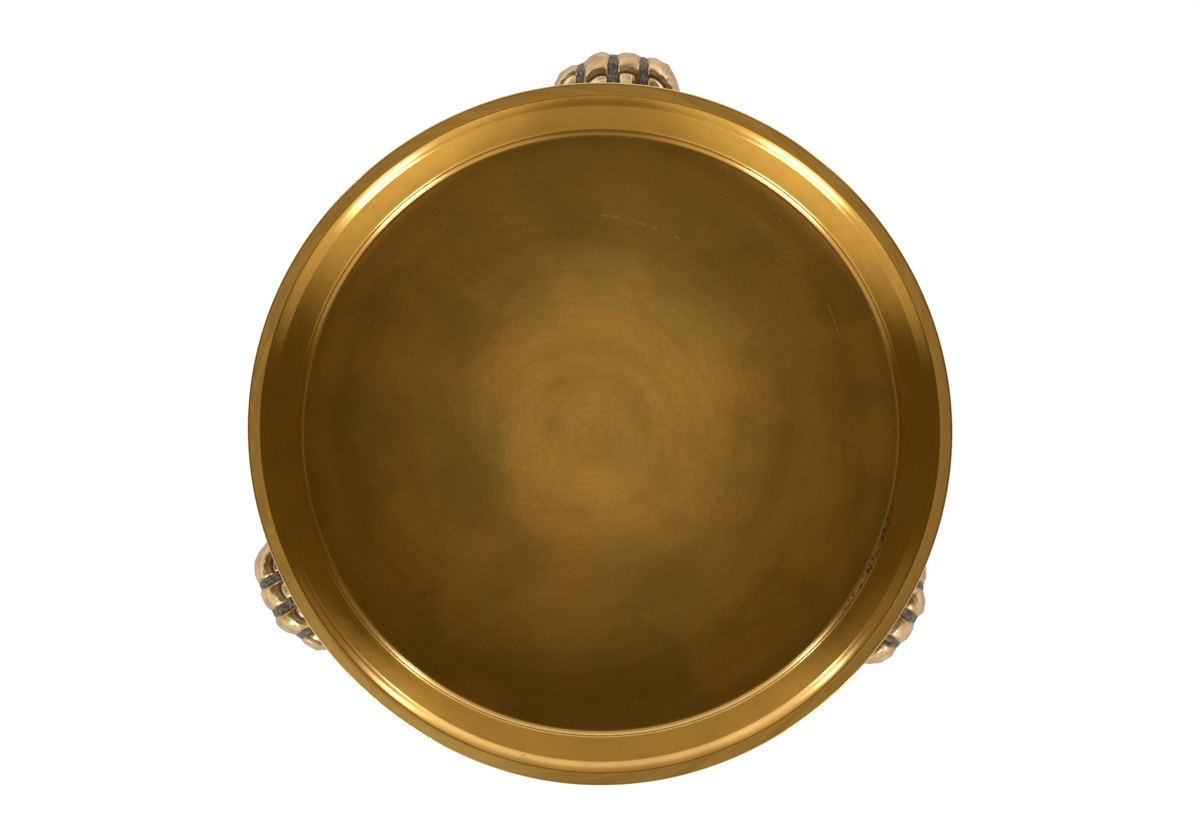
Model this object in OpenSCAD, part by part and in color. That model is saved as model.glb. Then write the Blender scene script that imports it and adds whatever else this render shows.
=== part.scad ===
// Footed brass bowl of the urli kind: a shallow dished pan, a stepped rim ring brazed round it,
// and three cast lion-paw feet, each screwed up from beneath into a boss on the pan's underside.
// The origin is on the bowl's axis, on the surface that the feet stand on. +Z is up.

/* [Rim] */
// Outer diameter of the rim
rim_d = 300; // [280:5:320]
// Height of the rim's top above the surface
rim_top = 110; // [108:1:125]
// Width of the flat lip
lip_w = 5; // [4:0.5:6]
// Thickness of the lip and the band
lip_t = 4.5; // [4:0.5:5]
// Drop of the rounded step inside the lip
step_drop = 4.2; // [3:0.2:5]
// Width of the rounded step
step_w = 5.4; // [4.5:0.1:6.5]
// Slope of the band between the step and the seam, in degrees
band_slope = 31.5; // [28:0.5:34]

/* [Pan] */
// Radius of the pan's edge, at the seam
pan_r = 128.6; // [127:0.2:129]
// Depth of the dish below the seam
dish_depth = 32; // [29:1:35]
// Wall thickness of the pan
pan_wall = 3.5; // [3:0.5:4]

/* [Seam] */
// Width of the brazed seam between the pan's edge and the rim ring
seam_gap = 0.6; // [0.4:0.1:0.8]
// Thickness of the braze between the pan and the ring's ledge
seam_film = 0.3; // [0.2:0.1:0.4]
// Width of the ledge that the pan's edge lies on
ledge_w = 3.6; // [3:0.2:4]
// Thickness of the ledge
ledge_t = 2.6; // [2:0.2:3]

/* [Feet] */
// Angle of the back foot from +Y, clockwise from above, in degrees
back_turn = 2.3; // [0:0.1:4]
// Angle of the right foot, as hand-fitted feet are never quite evenly spaced
right_turn = 121.1; // [119:0.1:123]
// Angle of the left foot
left_turn = 241.2; // [239:0.1:243]
// Radius from the axis to the tips of the middle toes
toe_reach = 172; // [168:1:175]
// How far the back foot is set outwards of that, as hand-fitted feet are
back_out = 2.5; // [-4:0.1:4]
// How far the right foot is set outwards of it
right_out = -2.3; // [-4:0.1:4]
// How far the left foot is set outwards of it
left_out = 0.7; // [-4:0.1:4]
// Height of the toes' knuckles above the surface
knuckle_h = 30.5; // [29:0.5:32]
// Width of the leg at its knee
knee_w = 40; // [36:1:42]
// Width of the leg at its ankle
ankle_w = 27; // [24:1:30]

/* [Foot fixings] */
// Radius from the axis to each boss and its screw
boss_at = 111; // [109:1:112]
// Radius of a boss
boss_r = 9; // [8:0.5:9.5]
// Height of a boss's lower face above the surface
boss_z = 75; // [74:0.5:76]
// Clearance round a boss in its foot's socket
socket_gap = 0.3; // [0.2:0.1:0.5]
// Thickness of a foot's web under its boss
web_t = 5.5; // [5:0.5:6]
// Radius of the screws' shanks
screw_r = 3; // [2.5:0.5:3]
// Length of the screws' shanks
screw_len = 15; // [14:0.5:16]
// Radius of the screws' heads
head_r = 5; // [4.5:0.5:5.5]
// Height of the screws' heads
head_h = 3.9; // [3.5:0.1:4.2]
// Radius of the washers
washer_r = 6.2; // [6:0.1:6.4]
// Thickness of the washers
washer_t = 1.6; // [1.2:0.2:1.8]

/* [Hidden] */
$fn = 96;

brass = "goldenrod";
aged_brass = "darkgoldenrod";
braze_tone = "darkkhaki";

rim_r = rim_d / 2;
edge_round = 1.6;
step_out = rim_r - lip_w;
step_in = step_out - step_w;
ring_r = pan_r + seam_gap;
inner_round = 0.8;
band_end = ring_r + inner_round;
band_top = rim_top - step_drop;
band_low = band_top - (step_in - band_end) * tan(band_slope);

// The dish is part of a sphere: its inner face passes through the seam and the floor's centre.
seam_z = band_low - 1.2;
dish_r = (pan_r * pan_r + dish_depth * dish_depth) / (2 * dish_depth);
dish_z = seam_z - dish_depth + dish_r;
under_r = dish_r + pan_wall;
ledge_top_r = under_r + seam_film;
ledge_low_r = ledge_top_r + ledge_t;
ledge_in = ring_r - ledge_w;
trim = 0.6;

foot_angles = [back_turn, right_turn, left_turn];
foot_outs = [back_out, right_out, left_out];

// Toes: [sideways place, half width, splay in degrees, how far short of the longest toe]
toes = [[-20.6, 4.7, -8, 6.5], [-8.1, 5.2, -2, 0.5], [6.2, 5.3, 2, 0], [21, 6.7, 8, 2.5]];
toe_bend = 15;
toe_root = 40;
claw_z = 5;
core_r = 36;
core_round = 16;
core_drop = 2;
core_side = 1.5;
core_w = 48;
toe_back = 9;
crease_r = 1.2;
crease_back = 10.5;

// The leg: heights of its top under the pan, its knee, its ankle and its instep, and where its sole starts
leg_top = 98;
knee_h = 78;
ankle_h = 46;
instep_h = 18;
sole_back = 18;
knee_deep = 15;
ankle_at = toe_reach - 38;
steps = 12;

function arc(c, r, a0, a1) =
    [for (i = [0:steps]) c + r * [cos(a0 + (a1 - a0) * i / steps), sin(a0 + (a1 - a0) * i / steps)]];

// Height of a sphere's lower half at a distance from the axis
function sphere_z(r, at) = dish_z - sqrt(r * r - at * at);

// A cubic curve through its two ends, pulled by two handles
function bend(p0, p1, p2, p3) =
    [for (i = [0:steps]) let (t = i / steps, u = 1 - t)
        u * u * u * p0 + 3 * u * u * t * p1 + 3 * u * t * t * p2 + t * t * t * p3];

// The rounded step: flat at the lip, and at the band's slope where it meets the band
function step_curve(z_lip) = bend(
    [step_out, z_lip],
    [step_out - step_w / 5, z_lip],
    [step_in + step_w / 4, z_lip - step_drop + step_w / 4 * tan(band_slope)],
    [step_in, z_lip - step_drop]);

function reversed(points) = [for (i = [len(points) - 1:-1:0]) points[i]];

module turned() {
    rotate_extrude($fn = 180) children();
}

// The part of a spherical shell's section between two radii and two distances from the axis
module shell_section(r_in, r_out, from, to) {
    intersection() {
        difference() {
            translate([0, dish_z]) circle(r = r_out, $fn = 360);
            translate([0, dish_z]) circle(r = r_in, $fn = 360);
        }
        translate([from, 0]) square([to - from, rim_top]);
    }
}

module bowl_pan() {
    color(brass) turned() shell_section(dish_r, under_r, 0, pan_r);
}

module band_section() {
    under_step = sphere_z(ledge_low_r, ring_r + 2);
    polygon(concat(
        arc([rim_r - edge_round, rim_top - lip_t + edge_round], edge_round, -90, 0),
        arc([rim_r - edge_round, rim_top - edge_round], edge_round, 0, 90),
        step_curve(rim_top),
        arc([band_end, band_low - inner_round], inner_round, 90 + band_slope / 2, 180),
        [[ring_r, sphere_z(ledge_top_r, ring_r)], [ring_r, under_step], [ring_r + 2, under_step]],
        reversed(step_curve(rim_top - lip_t))
    ));
}

module rim_ring() {
    color(brass) turned() union() {
        band_section();
        shell_section(ledge_top_r, ledge_low_r, ledge_in, ring_r + 2);
    }
}

// The filler metal: a film between pan and ledge, and the line that shows between pan and ring
module rim_seam_braze() {
    fill_z = seam_z - 1;
    low_z = sphere_z(ledge_top_r, ring_r);
    color(braze_tone) turned() union() {
        shell_section(under_r, ledge_top_r, ledge_in, pan_r);
        intersection() {
            translate([pan_r, low_z - 1]) square([seam_gap, fill_z - low_z + 1]);
            translate([0, dish_z]) circle(r = ledge_top_r, $fn = 360);
        }
    }
}

// Places what is modelled radially, with Y away from the axis, at one foot
module at_foot(i) {
    rotate([0, 0, -foot_angles[i]]) children();
}

module boss(i) {
    at = boss_at + foot_outs[i];
    color(aged_brass) at_foot(i) difference() {
        translate([0, at, boss_z]) cylinder(r = boss_r, h = rim_top - boss_z);
        translate([0, 0, dish_z]) sphere(r = under_r, $fn = 180);
        translate([0, at, boss_z - 1]) cylinder(r = screw_r + 0.05, h = 1 + screw_len - web_t);
    }
}

// The leg from the side, from the instep up the front, over the knee and down the back: [distance, height]
module leg_side() {
    instep = [toe_reach - sole_back, instep_h];
    ankle = [ankle_at + 3, ankle_h + 2];
    knee = [ankle_at + 6, knee_h + 2];
    top = [ankle_at - 9, leg_top];
    knee_back = [boss_at - knee_deep, knee_h - 2];
    ankle_back = [boss_at + 11, ankle_h - 4];
    polygon(concat(
        bend(instep, instep + [-2, 20], ankle + [1, -14], ankle),
        bend(ankle, ankle + [-1, 14], knee + [2, -10], knee),
        bend(knee, knee + [-2, 9], top + [8, -1], top),
        [knee_back + [0, 14]],
        bend(knee_back, knee_back + [2, -16], ankle_back + [-3, 14], ankle_back),
        bend(ankle_back, ankle_back + [3, -16], [ankle_at - 15, 12], [ankle_at - 7, 0]),
        [[toe_reach - sole_back, 0]]
    ));
}

// Half of the leg's outline from the front: [half width, height]
function leg_edge() =
    let (ankle = [ankle_w / 2, ankle_h - 1], knee = [knee_w / 2, knee_h])
    concat(
        [[knee_w / 2 - 1, 0]],
        bend([knee_w / 2 + 1, 10], [knee_w / 2 + 1, 26], ankle + [0, -15], ankle),
        bend(ankle, ankle + [0, 13], knee + [1, -16], knee),
        [[knee_w / 2 - 1, leg_top]]
    );

module leg_front() {
    edge = leg_edge();
    polygon(concat(edge, [for (p = reversed(edge)) [-p[0], p[1]]]));
}

module leg() {
    intersection() {
        translate([-30, 0, 0]) rotate([90, 0, 90]) linear_extrude(60) leg_side();
        translate([0, toe_reach, 0]) rotate([90, 0, 0]) linear_extrude(toe_reach) leg_front();
    }
}

// The body of the paw, which shows as the channels between the toes
module paw_core() {
    top = knuckle_h - core_drop;
    intersection() {
        translate([core_side, toe_reach - core_drop - core_r, 0])
            rotate_extrude(angle = 180, $fn = 180) intersection() {
                square([core_r, top]);
                union() {
                    square([core_r - core_round, top]);
                    square([core_r, top - core_round]);
                    translate([core_r - core_round, top - core_round]) circle(r = core_round);
                }
            }
        translate([core_side - core_w / 2, toe_reach - core_r, 0]) cube([core_w, core_r, top]);
    }
}

// One toe: a round bar bent down over the front of the paw, creased behind its pad and ending in a blunt claw
module toe(side, half_w, splay, short) {
    bar_z = knuckle_h - toe_bend - half_w;
    tip = toe_root - short;
    crease_y = half_w - crease_back;
    crease_z = bar_z + sqrt(pow(toe_bend + half_w, 2) - pow(toe_bend + crease_y, 2));
    translate([side, toe_reach - toe_root, 0]) rotate([0, 0, -splay]) difference() {
        translate([0, tip - half_w, 0]) union() {
            translate([0, -toe_bend, bar_z]) rotate([90, 0, 90])
                rotate_extrude(angle = 90, $fn = 120) translate([toe_bend, 0]) circle(r = half_w, $fn = 48);
            translate([0, -toe_bend, bar_z + toe_bend]) rotate([90, 0, 0]) cylinder(r = half_w, h = toe_back);
            translate([0, -toe_bend - toe_back, bar_z + toe_bend]) sphere(r = half_w);
            translate([0, 0, claw_z]) cylinder(r = half_w, h = bar_z - claw_z);
            cylinder(r1 = half_w * 0.7, r2 = half_w, h = claw_z);
        }
        translate([0, tip - crease_back, crease_z]) rotate([0, 90, 0])
            cylinder(r = crease_r, h = 3 * half_w, center = true, $fn = 24);
    }
}

module paw_foot(i) {
    socket_r = boss_r + socket_gap;
    at = boss_at + foot_outs[i];
    color(aged_brass) at_foot(i) difference() {
        translate([0, foot_outs[i], 0]) union() {
            leg();
            paw_core();
            for (t = toes) toe(t[0], t[1], t[2], t[3]);
        }
        translate([0, 0, dish_z]) sphere(r = under_r, $fn = 180);
        turned() shell_section(under_r - 1, ledge_low_r + trim, ledge_in - trim, rim_r);
        translate([0, at, boss_z]) cylinder(r = socket_r, h = rim_top - boss_z);
        translate([0, at, 0]) cylinder(r = screw_r + 0.3, h = boss_z + 1);
        translate([0, at, -1]) cylinder(r = socket_r, h = boss_z - web_t + 1);
    }
}

module foot_screws() {
    seat_z = boss_z - web_t - washer_t;
    slot_w = 1.6;
    slot_deep = 1.8;
    color(brass) for (i = [0:2]) at_foot(i) translate([0, boss_at + foot_outs[i], seat_z]) difference() {
        union() {
            cylinder(r = screw_r, h = screw_len);
            translate([0, 0, -head_h]) cylinder(r = head_r, h = head_h);
        }
        translate([-head_r - 1, -slot_w / 2, -head_h - 1]) cube([2 * head_r + 2, slot_w, slot_deep + 1]);
    }
}

module foot_washers() {
    seat_z = boss_z - web_t - washer_t;
    color(brass) for (i = [0:2]) at_foot(i) translate([0, boss_at + foot_outs[i], seat_z]) difference() {
        cylinder(r = washer_r, h = washer_t);
        translate([0, 0, -1]) cylinder(r = screw_r + 0.2, h = washer_t + 2);
    }
}

bowl_pan();
rim_ring();
rim_seam_braze();
boss(0);  // boss_back
boss(1);  // boss_right
boss(2);  // boss_left
paw_foot(0);  // paw_foot_back
paw_foot(1);  // paw_foot_right
paw_foot(2);  // paw_foot_left
foot_screws();
foot_washers();
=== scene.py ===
"""A footed brass bowl of the urli kind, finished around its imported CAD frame.

The pan, the rim ring, the seam and the three lion-paw feet are rebuilt here as fine meshes that stand
for their CAD nodes. The bosses, screws and washers stay as CAD made them. Lengths are in metres unless
a name ends in _mm, and the sculpting of the feet works in millimetres.
"""

import math

import bpy
import numpy as np
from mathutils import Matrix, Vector


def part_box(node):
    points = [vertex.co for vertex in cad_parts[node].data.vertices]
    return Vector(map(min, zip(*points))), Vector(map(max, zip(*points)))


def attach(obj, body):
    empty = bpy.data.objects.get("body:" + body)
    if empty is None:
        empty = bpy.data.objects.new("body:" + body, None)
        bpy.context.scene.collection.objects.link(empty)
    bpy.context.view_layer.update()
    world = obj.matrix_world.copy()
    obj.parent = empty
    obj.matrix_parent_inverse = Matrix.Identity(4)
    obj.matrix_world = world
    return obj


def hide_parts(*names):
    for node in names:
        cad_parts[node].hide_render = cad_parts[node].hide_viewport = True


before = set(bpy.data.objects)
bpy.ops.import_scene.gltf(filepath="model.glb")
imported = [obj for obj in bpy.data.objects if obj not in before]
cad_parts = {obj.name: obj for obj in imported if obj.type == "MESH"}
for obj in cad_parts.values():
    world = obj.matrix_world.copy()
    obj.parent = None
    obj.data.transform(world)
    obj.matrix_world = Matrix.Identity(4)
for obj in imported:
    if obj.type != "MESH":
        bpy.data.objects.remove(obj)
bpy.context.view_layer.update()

MM = 0.001
BODY = "root"
SEED = 7


# ---------------------------------------------------------------- sizes, from the frame

_, rim_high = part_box("rim_ring")
pan_low, pan_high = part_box("bowl_pan")
_, seam_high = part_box("rim_seam_braze")

RIM_TOP = rim_high.z
RIM_R = rim_high.x
PAN_R = pan_high.x
PAN_WALL = 3.5 * MM
SEAM_R = seam_high.x
SEAM_Z = pan_high.z
DISH_DEPTH = SEAM_Z - pan_low.z - PAN_WALL
DISH_R = (PAN_R ** 2 + DISH_DEPTH ** 2) / (2 * DISH_DEPTH)
DISH_Z = pan_low.z + PAN_WALL + DISH_R
UNDER_R = DISH_R + PAN_WALL

# The rim's section, as in the design
LIP_W = 5.0 * MM
LIP_T = 4.5 * MM
STEP_W = 5.4 * MM
STEP_DROP = 4.2 * MM
# Slopes across the step, in degrees, at shares of its width
STEP_BENDS = ((0.0, 0.0), (0.14, 37.5), (0.42, 41.5), (0.65, 47.0), (0.85, 45.0), (0.94, 39.0), (1.0, 31.5))
BAND_SLOPE = math.radians(31.5)
EDGE_ROUND = 1.0 * MM
INNER_ROUND = 3.0 * MM
# The lip is very slightly crowned and the band very slightly hollow
LIP_CROWN = 0.03 * MM
BAND_HOLLOW = 0.10 * MM
LEDGE_W = 3.6 * MM
LEDGE_T = 2.6 * MM
SEAM_FILM = 0.3 * MM
LEDGE_IN = SEAM_R - LEDGE_W
LEDGE_TOP_R = UNDER_R + SEAM_FILM
LEDGE_LOW_R = LEDGE_TOP_R + LEDGE_T

# The feet: angle from +Y, clockwise from above, and how far each is set out from the common place
FEET = {"back": (2.3, 2.5), "right": (121.1, -2.3), "left": (241.2, 0.7)}
TOE_REACH_MM = 172.0
KNUCKLE_MM = 30.5
BOSS_AT_MM = 111.0
BOSS_Z_MM = 75.0
WEB_MM = 5.5
SOCKET_MM = 9.3
HOLE_MM = 3.3


# ---------------------------------------------------------------- outlines and turned shapes


def arc(centre, radius, start, end, count):
    """Points of a round stretch, with its angles in degrees."""
    a = np.radians(np.linspace(start, end, count))
    return np.array(centre) + radius * np.column_stack((np.cos(a), np.sin(a)))


def sphere_z(radius, at):
    """Height of a dish-centred sphere's lower half at a distance from the axis."""
    return DISH_Z - math.sqrt(radius ** 2 - at ** 2)


def dish_arc(radius, start, end, count):
    """Points (distance, height) along a dish-centred sphere."""
    r = np.linspace(start, end, count)
    return np.column_stack((r, DISH_Z - np.sqrt(radius ** 2 - r ** 2)))


def waves(points, count, low, high, seed):
    """A smooth, repeatable unevenness between about -1 and 1: plane waves of mixed directions."""
    rng = np.random.default_rng(seed)
    total = np.zeros(len(points))
    for _ in range(count):
        direction = rng.normal(size=3)
        direction /= np.linalg.norm(direction)
        length = rng.uniform(low, high)
        total += np.sin(points @ direction * (2 * math.pi / length) + rng.uniform(0, 2 * math.pi))
    return total / math.sqrt(count)


def smooth_step(x, low, high):
    """How far x has come from low to high: 0 to 1, with soft ends."""
    t = np.clip((x - low) / (high - low), 0, 1)
    return t * t * (3 - 2 * t)


# The rim isn't quite round: lobes as (number round the rim, height, angle of a crest in degrees)
RIM_LOBES = ((2, 0.31 * MM, 222.0), (3, 0.415 * MM, 161.4), (4, 0.36 * MM, 25.0))
# The rim is a little smaller and lower than in the design, so that its crests stay inside the design's box
RIM_SHRINK = 0.55 * MM
RIM_LOWER = 0.3 * MM
# Where the lobes and the lowering start, and where they are full, as distances from the axis
LOBES_FROM, LOBES_TO = 0.133, 0.146
LOWER_FROM, LOWER_TO = 0.134, 0.144
BROAD_DENT = 0.045 * MM
FINE_DENT = 0.006 * MM


def hand_made(co):
    """Moves turned points slightly, as hand turning, brazing and polishing leave them."""
    r = np.hypot(co[:, 0], co[:, 1])
    az = np.arctan2(co[:, 0], co[:, 1])
    lobes = sum(h * np.cos(n * az - math.radians(crest)) for n, h, crest in RIM_LOBES) - RIM_SHRINK
    grow = lobes * smooth_step(r, LOBES_FROM, LOBES_TO)
    scale = 1 + grow / np.maximum(r, 1e-6)
    co = co * np.column_stack((scale, scale, np.ones_like(scale)))
    dents = waves(co, 14, 0.045, 0.09, SEED) * BROAD_DENT
    dents += waves(co, 18, 0.014, 0.03, SEED + 1) * FINE_DENT
    co[:, 2] += dents - RIM_LOWER * smooth_step(r, LOWER_FROM, LOWER_TO)
    return co


def new_piece(name, co, faces, replaces, material):
    """Makes a smooth piece that rides on the bowl and stands for its CAD node."""
    mesh = bpy.data.meshes.new(name)
    mesh.from_pydata(co.tolist(), [], faces)
    mesh.update()
    mesh.shade_smooth()
    piece = bpy.data.objects.new(name, mesh)
    bpy.context.scene.collection.objects.link(piece)
    mesh.materials.append(material)
    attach(piece, BODY)
    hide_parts(replaces)
    return piece


def turned(outline, segments, closed):
    """Turns an outline of (distance, height) points about the axis. An open one starts and ends on it."""
    outline = np.array(outline, float)
    rings = outline if closed else outline[1:-1]
    a = np.linspace(0, 2 * math.pi, segments, endpoint=False)
    co = np.empty((len(rings), segments, 3))
    co[:, :, 0] = rings[:, :1] * np.cos(a)
    co[:, :, 1] = rings[:, :1] * np.sin(a)
    co[:, :, 2] = rings[:, 1:]
    co = co.reshape(-1, 3)
    index = np.arange(len(rings) * segments).reshape(len(rings), segments)
    upper = np.roll(index, -1, axis=0) if closed else index[1:]
    lower = index if closed else index[:-1]
    quads = np.stack((lower, upper, np.roll(upper, -1, axis=1), np.roll(lower, -1, axis=1)), axis=-1)
    faces = quads.reshape(-1, 4).tolist()
    if not closed:
        first, last = len(co), len(co) + 1
        co = np.vstack((co, [[0, 0, outline[0, 1]], [0, 0, outline[-1, 1]]]))
        for k in range(segments):
            after = (k + 1) % segments
            faces.append([first, int(index[0, k]), int(index[0, after])])
            faces.append([last, int(index[-1, after]), int(index[-1, k])])
    return co, faces


# ---------------------------------------------------------------- the pan, the rim ring and the seam

SEGMENTS = 720
PAN_EDGE = 0.3 * MM

# The pan's edge is dressed down a little before brazing, over its last few millimetres
DRESSED = 0.46 * MM
DRESSED_FROM = PAN_R - 14 * MM


def pan_outline():
    """From the floor's middle out to the dressed edge, and back along the underside."""
    top = dish_arc(DISH_R, 0, PAN_R - PAN_EDGE, 90)
    top[:, 1] -= DRESSED * smooth_step(top[:, 0], DRESSED_FROM, PAN_R)
    return np.vstack((
        top,
        arc((PAN_R - PAN_EDGE, top[-1, 1] - PAN_EDGE), PAN_EDGE, 80, 0, 7),
        arc((PAN_R - PAN_EDGE, sphere_z(UNDER_R, PAN_R) + PAN_EDGE), PAN_EDGE, 0, -60, 5),
        dish_arc(UNDER_R, PAN_R - 2 * PAN_EDGE, 0, 60),
    ))


def step_curve(lip_z, count):
    """The rounded step: a sharp bend at the lip, an even slope, a steeper one, then the band's slope."""
    share = np.linspace(0, 1, 8 * count + 1)
    slope = np.tan(np.radians(np.interp(share, *zip(*STEP_BENDS))))
    fall = np.concatenate(([0.0], np.cumsum((slope[1:] + slope[:-1]) / 2)))
    kept = slice(None, None, 8)
    z = lip_z - STEP_DROP * fall[kept] / fall[-1]
    return np.column_stack((RIM_R - LIP_W - STEP_W * share[kept], z))


def bead_centre():
    """The centre of the rounding at the band's foot, tangent to the band and to the ring's inner wall."""
    centre_r = SEAM_R + INNER_ROUND
    foot_r = centre_r - INNER_ROUND * math.sin(BAND_SLOPE)
    foot_z = RIM_TOP - STEP_DROP - (RIM_R - LIP_W - STEP_W - foot_r) * math.tan(BAND_SLOPE)
    return centre_r, foot_z - INNER_ROUND * math.cos(BAND_SLOPE)


BEAD_AT = bead_centre()


def rim_outline():
    """Round the lip's edge, over the lip and the step, down the band, and back under the ledge."""
    lean = math.degrees(BAND_SLOPE)
    lip_in = RIM_R - LIP_W
    step_in = lip_in - STEP_W
    foot_r = BEAD_AT[0] - INNER_ROUND * math.sin(BAND_SLOPE)
    foot_z = BEAD_AT[1] + INNER_ROUND * math.cos(BAND_SLOPE)
    lip = np.linspace(RIM_R - EDGE_ROUND, lip_in, 8)[1:-1]
    crown = LIP_CROWN * np.sin(np.pi * (lip - lip_in) / (RIM_R - EDGE_ROUND - lip_in))
    band = np.linspace(0, 1, 14)[1:-1, None]
    band_top, band_foot = np.array((step_in, RIM_TOP - STEP_DROP)), np.array((foot_r, foot_z))
    hollow = BAND_HOLLOW * np.sin(np.pi * band)
    return np.vstack((
        arc((RIM_R - EDGE_ROUND, RIM_TOP - LIP_T + EDGE_ROUND), EDGE_ROUND, -90, 0, 10),
        arc((RIM_R - EDGE_ROUND, RIM_TOP - EDGE_ROUND), EDGE_ROUND, 0, 90, 14),
        np.column_stack((lip, RIM_TOP + crown)),
        step_curve(RIM_TOP, 26),
        band_top + (band_foot - band_top) * band - hollow * (0, 1),
        arc(BEAD_AT, INNER_ROUND, 90 + lean, 180, 16),
        dish_arc(LEDGE_TOP_R, SEAM_R, LEDGE_IN, 5),
        dish_arc(LEDGE_LOW_R, LEDGE_IN, SEAM_R, 5),
        [[SEAM_R + 2 * MM, sphere_z(LEDGE_LOW_R, SEAM_R)]],
        step_curve(RIM_TOP - LIP_T, 16)[::-1],
    ))


# The brazed fillet: its steepest slope, where it leaves the bead, its slope at the pan, and its radius
FILLET_TOP, FILLET_FOOT, FILLET_R = 50.0, 35.0, 9.5 * MM


def seam_outline():
    """The filler metal: a hollow fillet from the ring down onto the pan, over a thin film on the ledge."""
    steep = math.radians(FILLET_TOP)
    start = np.array(BEAD_AT) + INNER_ROUND * np.array((-math.sin(steep), math.cos(steep)))
    centre = start + FILLET_R * np.array((-math.sin(steep), math.cos(steep)))
    fillet = arc(centre, FILLET_R, FILLET_TOP - 90, FILLET_FOOT - 90, 16)
    foot = fillet[-1]
    return np.vstack((
        dish_arc(UNDER_R, LEDGE_IN, PAN_R, 4),
        [[PAN_R + 0.1 * MM, SEAM_Z - 1.5 * MM], foot - (0.4 * MM, 0.5 * MM)],
        fillet[::-1],
        [start + (0.15 * MM, -0.1 * MM), [SEAM_R + 0.1 * MM, SEAM_Z - 1.5 * MM]],
        dish_arc(LEDGE_TOP_R, SEAM_R, LEDGE_IN, 4),
    ))


def make_pan(material):
    co, faces = turned(pan_outline(), SEGMENTS, closed=False)
    new_piece("pan", hand_made(co), faces, "bowl_pan", material)


def make_rim(material):
    co, faces = turned(rim_outline(), SEGMENTS, closed=True)
    new_piece("rim", hand_made(co), faces, "rim_ring", material)


def make_seam(material):
    co, faces = turned(seam_outline(), SEGMENTS, closed=True)
    new_piece("seam", hand_made(co), faces, "rim_seam_braze", material)


# ---------------------------------------------------------------- the feet, sculpted as a distance field
# A field is a number at each point of a grid: below zero inside the metal. Millimetres throughout, with Y
# away from the bowl's axis and X to the right as the foot is seen from outside and above.

STEP_MM = 0.6
GRID_LOW = np.array((-32.0, 92.0, -1.2))
GRID_HIGH = np.array((34.0, 175.0, 100.0))

# The paw's rounded body: its centre and its half sizes
PAW_AT = (0.9, TOE_REACH_MM - 35.0, 8.0)
PAW_HALF = (31.3, 34.2, KNUCKLE_MM - 8.0)
# How round its profile and its plan are (2 is an ellipse), and how far its left side falls back
PAW_PROFILE = 2.3
PAW_PLAN = 3
PAW_LAG = 3.2

# Toes: left edge, right edge, and the height of the crease behind the full front pad
TOES = ((-29.5, -17.2, 20.0), (-14.0, -2.9, 25.6), (1.0, 11.5, 25.0), (14.7, 30.0, 23.8))
# Flat channels between them: middle and half width in front of the creases, and behind them
CHANNELS = ((-15.6, 1.45, -15.1, 2.1), (-0.95, 1.9, -0.6, 2.3), (13.1, 1.7, 11.7, 3.1))
NAIL_Z = 17.5


def join(a, b, blend):
    """Two shapes as one, with a fillet of about blend where they meet."""
    h = np.clip(0.5 + 0.5 * (b - a) / blend, 0, 1)
    return b + (a - b) * h - blend * h * (1 - h)


def cut(a, b, blend):
    """Shape a with shape b taken away."""
    return -join(-a, b, blend)


def cone(p, a, b, r_a, r_b):
    """A round bar from a to b whose radius changes from r_a to r_b."""
    a, b = np.array(a, float), np.array(b, float)
    d = b - a
    q = [p[i] - a[i] for i in range(3)]
    t = np.clip((q[0] * d[0] + q[1] * d[1] + q[2] * d[2]) / (d @ d), 0, 1)
    gap = np.sqrt(sum((q[i] - t * d[i]) ** 2 for i in range(3)))
    return gap - (r_a + (r_b - r_a) * t)


def egg(p, centre, radii):
    """An ellipsoid."""
    q = [(p[i] - centre[i]) / radii[i] for i in range(3)]
    near = np.sqrt(q[0] ** 2 + q[1] ** 2 + q[2] ** 2) + 1e-6
    steep = np.sqrt(sum((q[i] / radii[i]) ** 2 for i in range(3))) + 1e-6
    return near * (near - 1) / steep


def bell(x, middle, width):
    """A soft bump of height 1 about the middle."""
    return np.exp(-((x - middle) / width) ** 2)


def paw_share(x, y, z):
    """How far out a point is in the paw's round body: 1 on its surface. The left side falls back further."""
    y = y + PAW_LAG * smooth_step(-x, 5, 17)
    qx, qy, qz = (np.abs(v - c) / h for v, c, h in zip((x, y, z), PAW_AT, PAW_HALF))
    profile = (qy ** PAW_PROFILE + qz ** PAW_PROFILE) ** (1 / PAW_PROFILE)
    return (qx ** PAW_PLAN + profile ** PAW_PLAN) ** (1 / PAW_PLAN)


def paw_front(x, z):
    """How far forward the paw's body reaches at a sideways place and height."""
    qx, qz = abs(x - PAW_AT[0]) / PAW_HALF[0], abs(z - PAW_AT[2]) / PAW_HALF[2]
    profile = (1 - qx ** PAW_PLAN) ** (PAW_PROFILE / PAW_PLAN)
    reach = PAW_AT[1] + PAW_HALF[1] * (profile - qz ** PAW_PROFILE) ** (1 / PAW_PROFILE)
    return reach - PAW_LAG * float(smooth_step(-x, 5, 17))


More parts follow.
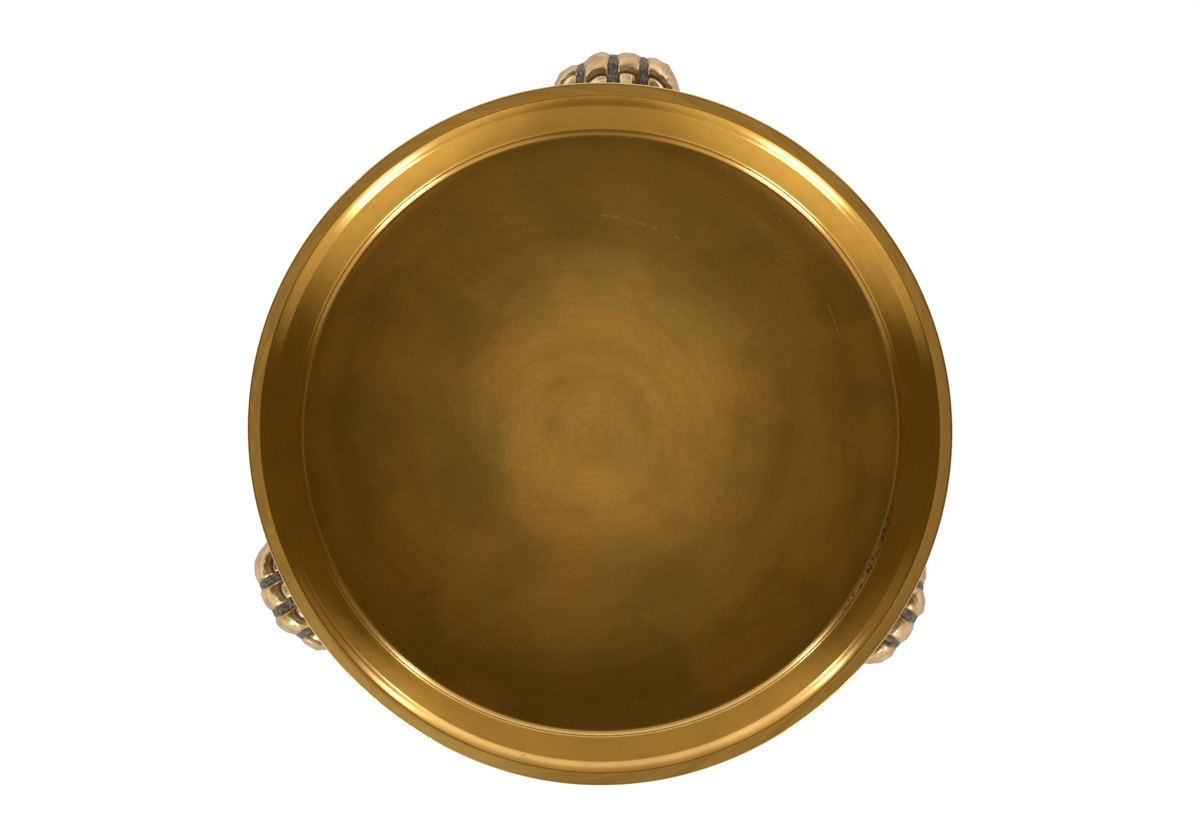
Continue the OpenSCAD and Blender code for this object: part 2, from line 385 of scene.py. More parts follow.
def relief(x, y, z):
    """How deep the surface lies below the paw's smooth body, and where its channels and creases are."""
    fade = (1 - smooth_step(z, 33, 52)) * smooth_step(y, 120, 136)
    x = x * (1 + 0.012 * np.maximum(0, 150 - y))
    channel = 0
    for middle, half, middle_back, half_back in CHANNELS:
        back = smooth_step(z, 23.5, 26.5)
        off = np.abs(x - (middle + (middle_back - middle) * back))
        width = half + (half_back - half) * back
        channel = np.maximum(channel, 1 - smooth_step(off, width - 0.55, width + 0.75))
    low = smooth_step(z, 10, 22)
    depth = channel * (0.6 + 1.6 * low)
    crease = 0
    for left, right, crease_z in TOES:
        on = smooth_step(x, left - 1.2, left + 0.6) * (1 - smooth_step(x, right - 0.6, right + 1.2))
        across = np.clip((2 * x - left - right) / (right - left), -1, 1)
        crown = 1 - np.sqrt(1 - 0.95 * across ** 2)
        notch = bell(z, crease_z, 0.5)
        behind = smooth_step(z, crease_z - 0.4, crease_z + 0.8)
        behind = behind * (1 - smooth_step(z, crease_z + 1, crease_z + 9))
        pad = bell(z, (crease_z + NAIL_Z) / 2 + 0.6, 3.4)
        nail = bell(z, NAIL_Z, 0.75)
        sheath = bell(z, NAIL_Z - 5, 4.0) * (1 - smooth_step(np.abs(across), 0.55, 0.85))
        crown = crown * (0.7 + 0.5 * low)
        sunk = crown + 1.05 * notch + 0.35 * behind + 0.20 * nail
        depth = depth + on * (sunk - 0.55 * pad - 0.5 * sheath)
        crease = np.maximum(crease, on * np.maximum(notch, 0.2 * nail))
    under = 2.2 * (1 - smooth_step(z, 0, 8))
    return (depth + under) * fade, channel * fade, crease * fade


def claws(p):
    """A blunt claw under each toe's nail, reaching the ground."""
    shape = None
    for left, right, _ in TOES:
        x = (left + right) / 2 * 0.97
        size = (right - left) / 10
        top, foot = paw_front(x, 11.0), paw_front(x, 1.0)
        one = cone(p, (x, top - 2.6 * size, 11.0), (x, foot - 1.9, 1.2), 2.7 * size, 1.3)
        shape = one if shape is None else np.minimum(shape, one)
    return shape


def leg_field(p):
    """The leg: a full knee under the pan, a slim ankle, and the instep."""
    ankle = TOE_REACH_MM - 43.5
    knee = egg(p, (0, 117.0, 84), (20.0, 22.0, 24))
    shank = cone(p, (0, 119.5, 72), (0, ankle, 50), 16.5, 12.0)
    instep = cone(p, (0, ankle, 50), (1.2, TOE_REACH_MM - 29, 19), 12.2, 16.5)
    heel = egg(p, (0.5, TOE_REACH_MM - 43, 10.0), (19.0, 14.0, 15.0))
    leg = join(join(knee, shank, 7.0), instep, 6.0)
    return join(leg, heel, 7.0)


def fur(p):
    """Shallow carved locks on the leg: long waving flutes that fade out near the pan, toes and back."""
    axis_y = np.interp(p[2].ravel(), (0, 24, 50, 72, 98), (146, 143, 128.5, 119, 115)).reshape(p[2].shape)
    around = np.abs(np.arctan2(p[0], p[1] - axis_y))
    sway = 0.17 * np.sin(p[2] / 9.0 + 2.0 * around)
    flute = np.abs(np.sin(7.0 * (around + sway) + p[2] / 16.0))
    reach = smooth_step(p[2], 36, 46) * (1 - smooth_step(p[2], 78, 90))
    reach = reach * (1 - smooth_step(around, 2.1, 2.6))
    return 0.9 * reach * (1 - flute) ** 2


def sculpt(p):
    """The whole casting before it is trimmed to fit the bowl."""
    share = paw_share(*p)
    steep = np.sqrt(sum(g ** 2 for g in np.gradient(share, STEP_MM)))
    body = (share - 1) / np.maximum(steep, 0.02)
    foot = join(leg_field(p) + fur(p), body, 5.0)
    foot = foot + relief(*p)[0]
    return join(foot, claws(p), 0.6)


def trimmed(foot, p, out):
    """The casting cut to the pan, the ledge, the boss, the screw and the floor."""
    r = np.hypot(p[0], p[1] + out)
    ledge = smooth_step(r, LEDGE_IN / MM - 1.6, LEDGE_IN / MM - 0.4)
    trim_r = UNDER_R / MM + 0.05 + ledge * ((LEDGE_LOW_R - UNDER_R) / MM + 0.5)
    from_dish = np.sqrt(r ** 2 + (p[2] - DISH_Z / MM) ** 2)
    foot = np.maximum(foot, trim_r - from_dish)
    axis = np.hypot(p[0], p[1] - BOSS_AT_MM)
    foot = np.maximum(foot, -np.maximum(axis - SOCKET_MM, BOSS_Z_MM - p[2]))
    foot = np.maximum(foot, -np.maximum(axis - SOCKET_MM, p[2] - (BOSS_Z_MM - WEB_MM)))
    foot = np.maximum(foot, HOLE_MM - axis)
    return cut(foot, p[2], 0.8)


def sample(field, points):
    """The field's value at points, between grid places."""
    q = (points - GRID_LOW) / STEP_MM
    low = np.clip(np.floor(q).astype(int), 0, np.array(field.shape) - 2)
    f = q - low
    i, j, k = low.T
    value = 0
    for a in (0, 1):
        for b in (0, 1):
            for c in (0, 1):
                weight = abs(1 - a - f[:, 0]) * abs(1 - b - f[:, 1]) * abs(1 - c - f[:, 2])
                value = value + weight * field[i + a, j + b, k + c]
    return value


def skin(field):
    """The surface where a field is zero, as points and four-sided faces."""
    inside = field < 0
    count = sum(
        inside[a:a + field.shape[0] - 1, b:b + field.shape[1] - 1, c:c + field.shape[2] - 1].astype(np.int8)
        for a in (0, 1) for b in (0, 1) for c in (0, 1)
    )
    cells = np.argwhere((count > 0) & (count < 8))
    number = np.full(count.shape, -1)
    number[tuple(cells.T)] = np.arange(len(cells))
    total, hits = np.zeros((len(cells), 3)), np.zeros(len(cells))
    units = np.eye(3, dtype=int)
    for axis in range(3):
        along, u, v = units[axis], units[(axis + 1) % 3], units[(axis + 2) % 3]
        for corner in (0 * u, u, v, u + v):
            start = field[tuple((cells + corner).T)]
            end = field[tuple((cells + corner + along).T)]
            crossed = (start < 0) != (end < 0)
            t = start[crossed] / (start[crossed] - end[crossed])
            total[crossed] += cells[crossed] + corner + t[:, None] * along
            hits[crossed] += 1
    points = GRID_LOW + total / hits[:, None] * STEP_MM
    faces = []
    for axis in range(3):
        along, u, v = units[axis], units[(axis + 1) % 3], units[(axis + 2) % 3]
        one = tuple(slice(0, n - s) for n, s in zip(field.shape, along))
        two = tuple(slice(s, n) for n, s in zip(field.shape, along))
        edges = np.argwhere(inside[one] != inside[two])
        edges = edges[(edges @ u > 0) & (edges @ v > 0)]
        quad = np.stack([number[tuple((edges - s).T)] for s in (u + v, v, 0 * u, u)], axis=-1)
        leaving = inside[tuple(edges.T)]
        quad[~leaving] = quad[~leaving][:, ::-1]
        faces += quad.tolist()
    return points, faces


def outward(field, points):
    """The surface's direction at points."""
    steps = STEP_MM * np.eye(3)
    normal = np.column_stack([sample(field, points + e) - sample(field, points - e) for e in steps])
    return normal / (np.linalg.norm(normal, axis=1)[:, None] + 1e-9)


def hollows(field, points, normal):
    """How deep in a hollow each point lies: 0 on a plain face, less on a crest, towards 1 in a groove."""
    return sum((far - sample(field, points + far * normal)) / far for far in (1.0, 2.0, 3.5)) / 3


def pan_gap(points, out):
    """Distance of points from the pan's underside, where a foot is left as it was fitted."""
    r = np.hypot(points[:, 0], points[:, 1] + out)
    return np.sqrt(r ** 2 + (points[:, 2] - DISH_Z / MM) ** 2) - UNDER_R / MM


def make_foot(name, angle, out, casting, grid, material):
    field = trimmed(casting, grid, out)
    points, faces = skin(field)
    normal = outward(field, points)
    _, channel, crease = relief(*points.T)
    # Brown in hollows and creases: patina in the hollows, painted shade in the creases.
    patina_and_shade = np.maximum(0.75 * crease, 0.42 * hollows(field, points, normal))
    # Faces turned up are painted lighter and flanks and undersides darker: painted light and shade by how
    # each face turns.
    painted_light = smooth_step(normal[:, 2], 0.10, 0.72)
    seed = SEED + int(angle)
    cast = waves(points, 16, 3.5, 9.0, seed) * 0.10 + waves(points, 22, 1.4, 3.0, seed + 1) * 0.04
    free = (points[:, 2] > 1.5) & (pan_gap(points, out) > 1.0)
    points = points + normal * (cast * free)[:, None]
    a = math.radians(angle)
    cos, sin = math.cos(a), math.sin(a)
    x, y, z = points[:, 0], points[:, 1] + out, points[:, 2]
    placed = np.column_stack((x * cos + y * sin, -x * sin + y * cos, z)) * MM
    piece = new_piece("paw_" + name, placed, faces, "paw_foot_" + name, material)
    for kind, values in (("patina_and_shade", patina_and_shade), ("channel", channel), ("painted_light", painted_light)):
        attribute = piece.data.attributes.new(kind, "FLOAT", "POINT")
        attribute.data.foreach_set("value", values.astype(np.float32))


def make_feet(material):
    ticks = [np.arange(GRID_LOW[i], GRID_HIGH[i], STEP_MM) for i in range(3)]
    grid = np.meshgrid(*ticks, indexing="ij")
    casting = sculpt(grid)
    for name, (angle, out) in FEET.items():
        make_foot(name, angle, out, casting, grid, material)


# ---------------------------------------------------------------- materials


class Tree:
    """Short names for building one material's nodes."""

    def __init__(self, name):
        self.material = bpy.data.materials.new(name)
        self.material.use_nodes = True
        self.nodes = self.material.node_tree.nodes
        self.links = self.material.node_tree.links
        self.shader = self.nodes["Principled BSDF"]

    def feed(self, socket, value):
        if isinstance(value, bpy.types.NodeSocket):
            self.links.new(value, socket)
        else:
            socket.default_value = value

    def add(self, kind, inputs=(), out=0, **settings):
        node = self.nodes.new(kind)
        for key, value in settings.items():
            setattr(node, key, value)
        for key, value in dict(inputs).items():
            self.feed(node.inputs[key], value)
        return node.outputs[out]

    def math(self, operation, a, b=0.0, c=0.0):
        return self.add("ShaderNodeMath", {0: a, 1: b, 2: c}, operation=operation)

    def place(self):
        return self.add("ShaderNodeTexCoord", out=3)

    def scaled(self, vector, x, y, z):
        return self.add("ShaderNodeVectorMath", {0: vector, 1: (x, y, z)}, operation="MULTIPLY")

    def noise(self, vector, scale, detail=3.0, rough=0.5, stretch=0.0):
        inputs = {"Vector": vector, "Scale": scale, "Detail": detail}
        inputs.update({"Roughness": rough, "Distortion": stretch})
        return self.add("ShaderNodeTexNoise", inputs)

    def ramp(self, value, low, high, to_low=0.0, to_high=1.0):
        inputs = {0: value, 1: low, 2: high, 3: to_low, 4: to_high}
        return self.add("ShaderNodeMapRange", inputs, interpolation_type="SMOOTHSTEP")

    def mix(self, factor, a, b):
        node = self.nodes.new("ShaderNodeMix")
        node.data_type = "RGBA"
        self.feed(node.inputs[0], factor)
        self.feed(node.inputs[6], a)
        self.feed(node.inputs[7], b)
        return node.outputs[2]

    def bump(self, height, distance, strength=1.0, normal=None):
        inputs = {"Height": height, "Distance": distance, "Strength": strength}
        if normal is not None:
            inputs["Normal"] = normal
        return self.add("ShaderNodeBump", inputs)

    def polar(self):
        """Distance from the bowl's axis, and the angle clockwise from +Y, in radians."""
        parts = self.nodes.new("ShaderNodeSeparateXYZ")
        self.feed(parts.inputs[0], self.place())
        x, y, _ = parts.outputs
        squares = self.math("ADD", self.math("MULTIPLY", x, x), self.math("MULTIPLY", y, y))
        return self.math("SQRT", squares), self.math("ARCTAN2", x, y)

    def rings(self, r, fine, around):
        """Coordinates for noise drawn out into rings about the axis: fine across them, slow along them."""
        across = self.add("ShaderNodeCombineXYZ", {0: self.math("MULTIPLY", r, fine)})
        along = self.scaled(self.place(), around, around, around)
        return self.add("ShaderNodeVectorMath", {0: across, 1: along}, operation="ADD")


def rgb(r, g, b):
    return (r, g, b, 1.0)


# Polish residue at the seam: where it is, clockwise from +Y in degrees, and its tones
RESIDUE_AT = 114
RESIDUE_DARK = rgb(0.060, 0.045, 0.018)
RESIDUE_TONE = rgb(0.27, 0.25, 0.13)
# The coat on the rim and the seam, which gives their highlights a white core
COAT_IOR = 1.6
COAT_ROUGH = 0.13


def residue(t, r, angle, low, high):
    """Where specks of polish residue are left along one stretch of the seam, between two radii."""
    near = t.math("COSINE", t.math("SUBTRACT", angle, math.radians(RESIDUE_AT)))
    inside = t.math("MULTIPLY", t.ramp(r, low, low + 0.5 * MM), t.ramp(r, high - 0.5 * MM, high, 1.0, 0.0))
    spots = t.ramp(t.noise(t.place(), 420, 4, 0.65), 0.46, 0.54, 0.0, 0.95)
    return t.math("MULTIPLY", t.math("MULTIPLY", t.ramp(near, 0.966, 0.992), inside), spots)


def scratch(t, r, angle, at, half, radius, slope, width):
    """A broken, feathery scratch: at and half are its middle and reach in degrees, slope its drift."""
    away = t.math("SUBTRACT", angle, math.radians(at))
    away = t.math("WRAP", away, math.pi, -math.pi)
    off = t.math("SUBTRACT", t.math("SUBTRACT", r, radius), t.math("MULTIPLY", away, slope))
    off = t.math("ABSOLUTE", off)
    ends = t.ramp(t.math("ABSOLUTE", away), math.radians(half * 0.7), math.radians(half), 1.0, 0.0)
    broken = t.ramp(t.noise(t.place(), 650, 4, 0.7), 0.42, 0.60)
    return t.math("MULTIPLY", t.math("MULTIPLY", t.ramp(off, width * 0.25, width, 1.0, 0.0), ends), broken)


# Scratches on the pan: middle and reach in degrees, radius, drift per radian, width
LONG_SCRATCH = (11, 14, 92.7 * MM, -0.0096, 0.9 * MM)
SCRATCHES = (
    (214, 4, 79 * MM, 0.02, 0.5 * MM),
    (335, 3, 101 * MM, 0.05, 0.4 * MM),
    (64, 5, 112 * MM, -0.012, 0.4 * MM),
    (150, 4, 58 * MM, 0.03, 0.4 * MM),
    (262, 5, 96 * MM, 0.02, 0.4 * MM),
)


def polished_brass():
    """The pan: hand-polished, tarnished in soft patches, with ring-shaped polishing lines and scratches, and
    painted shade darkening it towards its edge.
    """
    t = Tree("polished_brass")
    r, angle = t.polar()
    place = t.place()
    patches = t.noise(place, 16, 4, 0.55, 0.6)
    clouds = t.noise(place, 34, 3, 0.5, 0.3)
    smears = t.noise(t.rings(r, 90, 14), 1, 3, 0.6)
    hairs = t.noise(t.rings(r, 1300, 420), 1, 3, 0.6)
    mottle = t.noise(place, 800, 3, 0.6)
    lines = t.noise(t.rings(r, 1500, 22), 1, 4, 0.7)
    gold, olive, brown = rgb(0.74, 0.385, 0.074), rgb(0.57, 0.345, 0.070), rgb(0.52, 0.245, 0.038)
    colour = t.mix(t.ramp(patches, 0.38, 0.66), gold, olive)
    colour = t.mix(t.math("MULTIPLY", t.ramp(smears, 0.46, 0.72), 0.45), colour, brown)
    # Darker towards the pan's edge: painted shade.
    edge = t.ramp(r, 0.112, 0.1275)
    colour = t.mix(t.math("MULTIPLY", edge, 0.35), colour, brown)
    colour = t.mix(t.math("MULTIPLY", t.ramp(clouds, 0.44, 0.70), 0.40), colour, rgb(0.36, 0.205, 0.034))
    fine = t.math("ADD", t.ramp(hairs, 0.38, 0.66, 0.0, 0.16), t.ramp(mottle, 0.38, 0.66, 0.0, 0.16))
    colour = t.mix(fine, colour, rgb(0.30, 0.155, 0.018))
    scuff = scratch(t, r, angle, *LONG_SCRATCH)
    for small in SCRATCHES:
        scuff = t.math("MAXIMUM", scuff, scratch(t, r, angle, *small))
    colour = t.mix(t.math("MULTIPLY", scuff, 0.28), colour, rgb(0.82, 0.55, 0.22))
    specks = t.ramp(t.noise(place, 900, 2, 0.5), 0.71, 0.77)
    colour = t.mix(t.math("MULTIPLY", specks, 0.35), colour, rgb(0.75, 0.62, 0.35))
    t.feed(t.shader.inputs["Base Color"], colour)
    t.shader.inputs["Metallic"].default_value = 1.0
    t.shader.inputs["Coat Weight"].default_value = 0.15
    t.shader.inputs["Coat Roughness"].default_value = 0.20
    rough = t.ramp(lines, 0.3, 0.75, 0.07, 0.12)
    rough = t.math("ADD", rough, t.ramp(smears, 0.4, 0.8, 0.0, 0.03))
    rough = t.math("ADD", rough, t.math("MULTIPLY", t.math("MAXIMUM", specks, scuff), 0.2))
    t.feed(t.shader.inputs["Roughness"], rough)
    height = t.math("ADD", t.math("ADD", lines, hairs), t.math("MULTIPLY", specks, 0.4))
    t.feed(t.shader.inputs["Normal"], t.bump(height, 0.00001, 0.3))
    return t.material


# Where the lip is painted darker, as painted shade, and painted brighter, as a painted reflection; clockwise
# from +Y in degrees
LIP_SHADE_AT = 102
LIP_SHEEN_AT = 216


def rim_brass():
    """The rim ring: evenly polished, with tight turning lines; the lip is smudged and nicked, with painted
    shade on one side and a painted reflection on the other.
    """
    t = Tree("rim_brass")
    r, angle = t.polar()
    place = t.place()
    patches = t.noise(place, 26, 4, 0.6, 0.4)
    lines = t.noise(t.rings(r, 2600, 30), 1, 4, 0.7)
    hairs = t.noise(t.rings(r, 2200, 300), 1, 3, 0.6)
    gold, warm = rgb(0.70, 0.355, 0.010), rgb(0.60, 0.285, 0.006)
    colour = t.mix(t.ramp(patches, 0.36, 0.68), gold, warm)
    lip = t.ramp(r, 0.1435, 0.1455)
    smudge = t.ramp(t.noise(t.rings(r, 330, 60), 1, 4, 0.65, 0.5), 0.36, 0.64)
    lip_smudges_and_light = t.mix(smudge, rgb(0.62, 0.350, 0.040), rgb(0.46, 0.225, 0.012))
    # The lip is painted darker about one angle: painted shade.
    lip_shade = t.math("COSINE", t.math("SUBTRACT", angle, math.radians(LIP_SHADE_AT)))
    lip_shade = t.ramp(lip_shade, 0.70, 0.97, 0.0, 0.75)
    lip_smudges_and_light = t.mix(lip_shade, lip_smudges_and_light, rgb(0.40, 0.185, 0.010))
    # The lip is painted brighter about another angle: a painted reflection.
    painted_light = t.math("COSINE", t.math("SUBTRACT", angle, math.radians(LIP_SHEEN_AT)))
    painted_light = t.ramp(painted_light, 0.86, 0.99, 0.0, 0.9)
    lip_smudges_and_light = t.mix(painted_light, lip_smudges_and_light, rgb(0.95, 0.600, 0.150))
    # The lip takes its real smudges together with the painted shade and the painted reflection.
    colour = t.mix(t.math("MULTIPLY", lip, 0.8), colour, lip_smudges_and_light)
    colour = t.mix(t.math("MULTIPLY", t.ramp(hairs, 0.38, 0.66), 0.22), colour, rgb(0.36, 0.190, 0.016))
    nicks = t.ramp(t.noise(place, 520, 2, 0.5), 0.69, 0.77)
    colour = t.mix(t.math("MULTIPLY", nicks, 0.6), colour, rgb(0.34, 0.20, 0.05))
    t.feed(t.shader.inputs["Base Color"], colour)
    t.shader.inputs["Metallic"].default_value = 1.0
    t.shader.inputs["Coat Weight"].default_value = 1.0
    t.shader.inputs["Coat IOR"].default_value = COAT_IOR
    t.shader.inputs["Coat Roughness"].default_value = COAT_ROUGH
    rough = t.ramp(lines, 0.3, 0.75, 0.11, 0.15)
    t.feed(t.shader.inputs["Roughness"], t.math("ADD", rough, t.math("MULTIPLY", nicks, 0.2)))
    height = t.math("SUBTRACT", t.math("ADD", lines, hairs), t.math("MULTIPLY", nicks, 1.5))
    t.feed(t.shader.inputs["Normal"], t.bump(height, 0.00001, 0.1))
    return t.material


def braze():
    """The seam's filler metal: polished with the rest, with dark cracks, and residue in one stretch."""
    t = Tree("braze")
    r, angle = t.polar()
    place = t.place()
    grain = t.noise(place, 500, 4, 0.6)
    pits = t.ramp(t.noise(place, 170, 3, 0.6), 0.70, 0.76)
    colour = t.mix(grain, rgb(0.60, 0.305, 0.016), rgb(0.50, 0.250, 0.010))
    colour = t.mix(pits, colour, rgb(0.10, 0.06, 0.02))
    left = residue(t, r, angle, PAN_R - 0.9 * MM, SEAM_R + 2 * MM)
    crumbs = t.ramp(t.noise(place, 900, 3, 0.6), 0.55, 0.66)
    colour = t.mix(left, colour, t.mix(crumbs, RESIDUE_DARK, RESIDUE_TONE))
    t.feed(t.shader.inputs["Base Color"], colour)
    t.feed(t.shader.inputs["Metallic"], t.math("SUBTRACT", 1.0, t.math("MULTIPLY", left, 0.6)))
    t.feed(t.shader.inputs["Coat Weight"], t.math("SUBTRACT", 1.0, left))
    t.shader.inputs["Coat IOR"].default_value = COAT_IOR
    t.shader.inputs["Coat Roughness"].default_value = COAT_ROUGH
    t.feed(t.shader.inputs["Roughness"], t.ramp(grain, 0.3, 0.7, 0.12, 0.16))
    t.feed(t.shader.inputs["Normal"], t.bump(t.math("SUBTRACT", grain, pits), 0.00002, 0.06))
    return t.material


def antiqued_brass():
    """The feet: grey-green patina in the channels, brown patina in the hollows with painted shade in the
    creases, faces turned up painted lighter and flanks painted darker.
    """
    t = Tree("antiqued_brass")
    place = t.place()
    hollow, channel, painted_light = (
        t.add("ShaderNodeAttribute", out=2, attribute_name=kind, attribute_type="GEOMETRY")
        for kind in ("patina_and_shade", "channel", "painted_light")
    )
    cloud = t.noise(place, 140, 4, 0.6)
    grain = t.noise(place, 900, 4, 0.65)
    uneven = t.math("MULTIPLY", t.math("SUBTRACT", t.noise(place, 380, 4, 0.65), 0.5), 0.35)
    # Brown where the hollows and creases are: patina in the hollows, painted shade in the creases.
    brown = t.ramp(t.math("ADD", hollow, uneven), 0.34, 0.68)
    sooty = t.ramp(t.math("ADD", channel, uneven), 0.35, 0.75)
    gold, bronze, umber = rgb(0.75, 0.510, 0.225), rgb(0.50, 0.310, 0.112), rgb(0.24, 0.140, 0.050)
    colour = t.mix(t.ramp(cloud, 0.36, 0.66), gold, bronze)
    # Flanks and undersides are painted umber and faces turned up gold: painted shade and painted light.
    colour = t.mix(t.math("ADD", painted_light, t.math("MULTIPLY", uneven, 0.8)), umber, colour)
    colour = t.mix(brown, colour, rgb(0.125, 0.070, 0.024))
    speckle = t.ramp(t.noise(place, 620, 4, 0.7), 0.36, 0.64)
    soot = t.mix(speckle, rgb(0.27, 0.215, 0.115), rgb(0.070, 0.052, 0.025))
    colour = t.mix(sooty, colour, soot)
    t.feed(t.shader.inputs["Base Color"], colour)
    dark = t.math("MAXIMUM", brown, sooty)
    t.feed(t.shader.inputs["Metallic"], t.math("SUBTRACT", 1.0, t.math("MULTIPLY", dark, 0.45)))
    rough = t.math("ADD", t.ramp(grain, 0.3, 0.7, 0.22, 0.34), t.math("MULTIPLY", dark, 0.25))
    t.feed(t.shader.inputs["Roughness"], rough)
    pits = t.ramp(t.noise(place, 620, 3, 0.6), 0.56, 0.68)
    pitted = t.math("MULTIPLY", pits, t.ramp(dark, 0, 1, 0.3, 2.0))
    height = t.math("SUBTRACT", t.math("MULTIPLY", grain, 0.6), pitted)
    t.feed(t.shader.inputs["Normal"], t.bump(height, 0.00012, 0.5))
    return t.material


def dull_brass(name, tone, line_scale):
    """Hidden turned pieces: dull brass with machining lines and finger tarnish."""
    t = Tree(name)
    place = t.place()
    cloud = t.noise(place, 120, 4, 0.6)
    lines = t.noise(t.scaled(place, 40, 40, line_scale), 1, 3, 0.6)
    dark = tuple(c * 0.55 for c in tone)
    t.feed(t.shader.inputs["Base Color"], t.mix(t.ramp(cloud, 0.35, 0.65), rgb(*tone), rgb(*dark)))
    t.shader.inputs["Metallic"].default_value = 1.0
    t.feed(t.shader.inputs["Roughness"], t.ramp(lines, 0.3, 0.7, 0.30, 0.48))
    t.feed(t.shader.inputs["Normal"], t.bump(lines, 0.00005, 0.4))
    return t.material


FLOOR_GLOW = 0.93
FLOOR_HALF = 3.0


def floor_paint():
    """The plain pale floor, lit from below like a light table so that it keeps no shadow."""
    t = Tree("pale_floor")
    tone = t.noise(t.place(), 3, 3, 0.5)
    t.feed(t.shader.inputs["Base Color"], t.mix(tone, rgb(0.26, 0.26, 0.26), rgb(0.30, 0.30, 0.30)))
    t.shader.inputs["Roughness"].default_value = 0.9
    t.shader.inputs["Specular IOR Level"].default_value = 0.0
    t.shader.inputs["Emission Color"].default_value = rgb(1.0, 1.0, 1.0)
    t.shader.inputs["Emission Strength"].default_value = FLOOR_GLOW
    return t.material


# ---------------------------------------------------------------- stage, light and camera


def make_floor():
    """One plain square, which is the stage and not part of the bowl."""
    corners = [(x * FLOOR_HALF, y * FLOOR_HALF, 0) for x, y in ((-1, -1), (1, -1), (1, 1), (-1, 1))]
    mesh = bpy.data.meshes.new("floor")
    mesh.from_pydata(corners, [], [(0, 1, 2, 3)])
    floor = bpy.data.objects.new("floor", mesh)
    bpy.context.scene.collection.objects.link(floor)
    mesh.materials.append(floor_paint())


# The glow over the bowl: where it is
GLOW_TOWARD = (-0.05, -0.10, 1.0)
# The room's even dim light and its tone
ROOM = 0.135
ROOM_TONE = (1.0, 0.80, 0.30, 1.0)
# The pale walls' brightness, and how far a softbox's inner glow reaches, in degrees
BACK_WALL = 0.38
FRONT_WALL = 0.36
HALO = 6.0

# Softboxes: angle from +Y clockwise from above, angle from straight up, width, height and radiance; then
# the glow round each on the wall behind: its strength, its middle's angle and its reach
SOFTBOXES = (
    (39.0, 78.0, 0.14, 0.36, 6.0, 0.19, 43.0, 3.0),
    (316.0, 78.0, 0.14, 0.36, 6.0, 0.19, 315.0, 3.4),
    (217.5, 78.0, 0.50, 0.36, 7.0, 0.62, 222.0, 2.7),
    (140.0, 78.0, 0.42, 0.36, 7.0, 0.58, 139.0, 2.9),
)
# How far they stand from the rim's middle, and their cool colour, which brass turns nearly white
SOFTBOX_AT = 1.9
DAYLIGHT = (0.88, 1.06, 2.1)
PLAIN_WHITE = (1.0, 1.0, 1.0, 1.0)


def toward(angle, tilt):
    """The direction at an angle from +Y, clockwise from above, and an angle from straight up."""
    a, b = math.radians(angle), math.radians(tilt)
    return Vector((math.sin(a) * math.sin(b), math.cos(a) * math.sin(b), math.cos(b)))


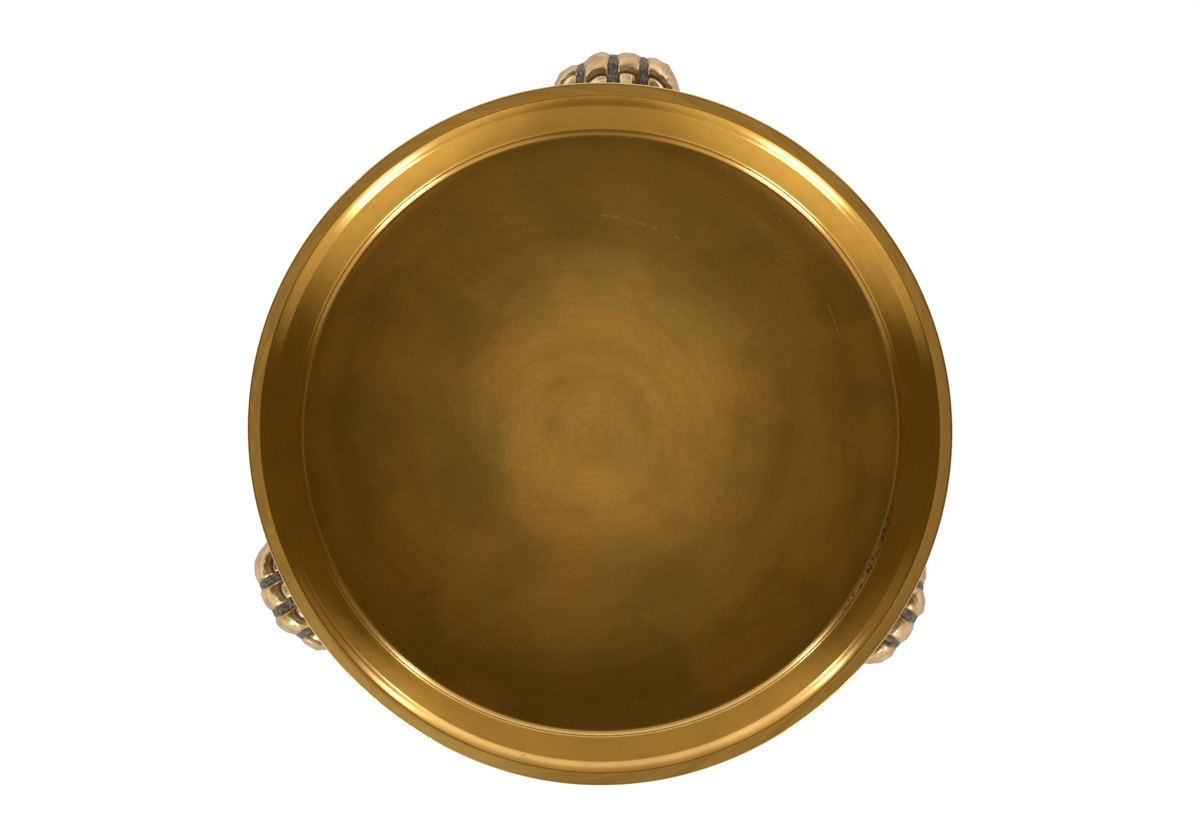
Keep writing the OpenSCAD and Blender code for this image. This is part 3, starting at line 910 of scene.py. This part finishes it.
def make_world():
    """A dim room: a soft glow a little before the zenith, and pale walls low down in front and behind."""
    world = bpy.data.worlds.new("studio")
    bpy.context.scene.world = world
    world.use_nodes = True
    nodes, links = world.node_tree.nodes, world.node_tree.links
    nodes.clear()

    def add(kind, inputs=(), out=0, **settings):
        node = nodes.new(kind)
        for key, value in settings.items():
            setattr(node, key, value)
        for key, value in dict(inputs).items():
            if isinstance(value, bpy.types.NodeSocket):
                links.new(value, node.inputs[key])
            else:
                node.inputs[key].default_value = value
        return node.outputs[out]

    def calc(operation, a, b=0.0):
        return add("ShaderNodeMath", {0: a, 1: b}, operation=operation)

    def glow(value, low, high, bottom, top):
        inputs = {0: value, 1: low, 2: high, 3: bottom, 4: top}
        return add("ShaderNodeMapRange", inputs, interpolation_type="SMOOTHSTEP")

    look = add("ShaderNodeTexCoord", out=0)
    parts = nodes.new("ShaderNodeSeparateXYZ")
    links.new(look, parts.inputs[0])
    x, y, z = parts.outputs
    level = calc("SQRT", calc("ADD", calc("MULTIPLY", x, x), calc("MULTIPLY", y, y)))
    ahead = calc("DIVIDE", y, calc("MAXIMUM", level, 0.001))
    # The glow overhead, narrower from side to side
    centre = Vector(GLOW_TOWARD).normalized()
    near = add("ShaderNodeVectorMath", {0: look, 1: centre}, out=1, operation="DOT_PRODUCT")
    overhead = calc("ADD", glow(near, 0.62, 0.90, 0.0, 0.13), glow(near, 0.87, 0.985, 0.0, 0.215))
    narrow = calc("MINIMUM", calc("MULTIPLY", x, x), 0.22)
    overhead = calc("MULTIPLY", overhead, calc("SUBTRACT", 1.0, calc("MULTIPLY", narrow, 1.3)))
    # The walls, with a brighter strip low down on the one at the back
    low_down = glow(z, 0.665, 0.60, 0.0, 1.0)
    back = glow(ahead, 0.60, 0.82, 0.0, BACK_WALL)
    skyline = calc("ADD", glow(z, 0.42, 0.18, 0.0, 1.8), glow(z, 0.17, 0.06, 0.0, 1.0))
    skyline = calc("MULTIPLY", back, skyline)
    front = calc("MULTIPLY", glow(ahead, -0.30, -0.85, 0.0, FRONT_WALL), glow(z, 0.34, 0.20, 1.0, 0.5))
    walls = calc("ADD", back, front)
    total = calc("ADD", overhead, calc("MULTIPLY", low_down, walls))
    # Each softbox's glow on the wall behind it: a tight cool one and a wide one
    for angle, tilt, width, _, _, halo, halo_at, reach in SOFTBOXES:
        near, around = (
            add("ShaderNodeVectorMath", {0: look, 1: toward(middle, tilt)}, out=1, operation="DOT_PRODUCT")
            for middle in (angle, halo_at)
        )
        wide = math.radians(HALO) + width / 2 / SOFTBOX_AT
        skyline = calc("ADD", skyline, glow(near, math.cos(wide), math.cos(wide * 0.4), 0.0, 1.1))
        total = calc("ADD", total, glow(around, math.cos(wide * reach), math.cos(wide), 0.0, halo))
    lit = add("ShaderNodeBackground", {0: PLAIN_WHITE, 1: total})
    dim = add("ShaderNodeBackground", {0: ROOM_TONE, 1: ROOM})
    cool = add("ShaderNodeBackground", {0: (*DAYLIGHT, 1.0), 1: skyline})
    room = add("ShaderNodeAddShader", {0: add("ShaderNodeAddShader", {0: lit, 1: dim}), 1: cool})
    # What lies behind the floor's edge is seen as plain white
    backdrop = add("ShaderNodeBackground", {0: PLAIN_WHITE, 1: 1.0})
    seen = add("ShaderNodeLightPath")
    mixed = add("ShaderNodeMixShader", {0: seen, 1: room, 2: backdrop})
    output = nodes.new("ShaderNodeOutputWorld")
    links.new(mixed, output.inputs[0])


def make_lights():
    """The softboxes, each facing the middle of the rim."""
    target = Vector((0, 0, RIM_TOP))
    for number, (angle, tilt, width, height, radiance, *_) in enumerate(SOFTBOXES):
        away = toward(angle, tilt)
        light = bpy.data.lights.new(f"softbox_{number}", "AREA")
        light.shape = "RECTANGLE"
        light.size, light.size_y = width, height
        light.energy = radiance * math.pi * width * height
        light.color = DAYLIGHT
        lamp = bpy.data.objects.new(light.name, light)
        lamp.location = target + away * SOFTBOX_AT
        lamp.rotation_euler = away.to_track_quat("Z", "Y").to_euler()
        bpy.context.scene.collection.objects.link(lamp)


# The camera's height over the rim, and the rim in its picture, as shares of the picture's width: half its
# breadth, and how far its middle lies right of and below the picture's middle
CAMERA_AT = 1.30
SENSOR_MM = 36.0
CLIP = (0.01, 20)
RIM_SHARE = 0.294083
RIM_RIGHT, RIM_DOWN = 0.00033, 0.01133


def make_camera():
    """Straight above the bowl: the rim fills the same share of the picture, a little below its middle."""
    data = bpy.data.cameras.new("camera")
    data.sensor_width = SENSOR_MM
    data.lens = RIM_SHARE / RIM_R * CAMERA_AT * SENSOR_MM
    data.clip_start, data.clip_end = CLIP
    camera = bpy.data.objects.new("camera", data)
    width = RIM_R / RIM_SHARE
    camera.location = (-RIM_RIGHT * width, RIM_DOWN * width, RIM_TOP + CAMERA_AT)
    bpy.context.scene.collection.objects.link(camera)
    bpy.context.scene.camera = camera


# ---------------------------------------------------------------- the whole scene

scene = bpy.context.scene
scene.view_settings.view_transform = "Standard"
make_camera()
make_lights()
make_world()
make_floor()

make_pan(polished_brass())
make_rim(rim_brass())
make_seam(braze())
make_feet(antiqued_brass())

boss_finish = dull_brass("boss_brass", (0.46, 0.33, 0.13), 900)
screw_finish = dull_brass("fastener_brass", (0.56, 0.42, 0.18), 1400)
for node_name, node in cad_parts.items():
    if node_name.startswith("boss_"):
        node.data.materials.clear()
        node.data.materials.append(boss_finish)
    elif node_name in ("foot_screws", "foot_washers"):
        node.data.materials.clear()
        node.data.materials.append(screw_finish)
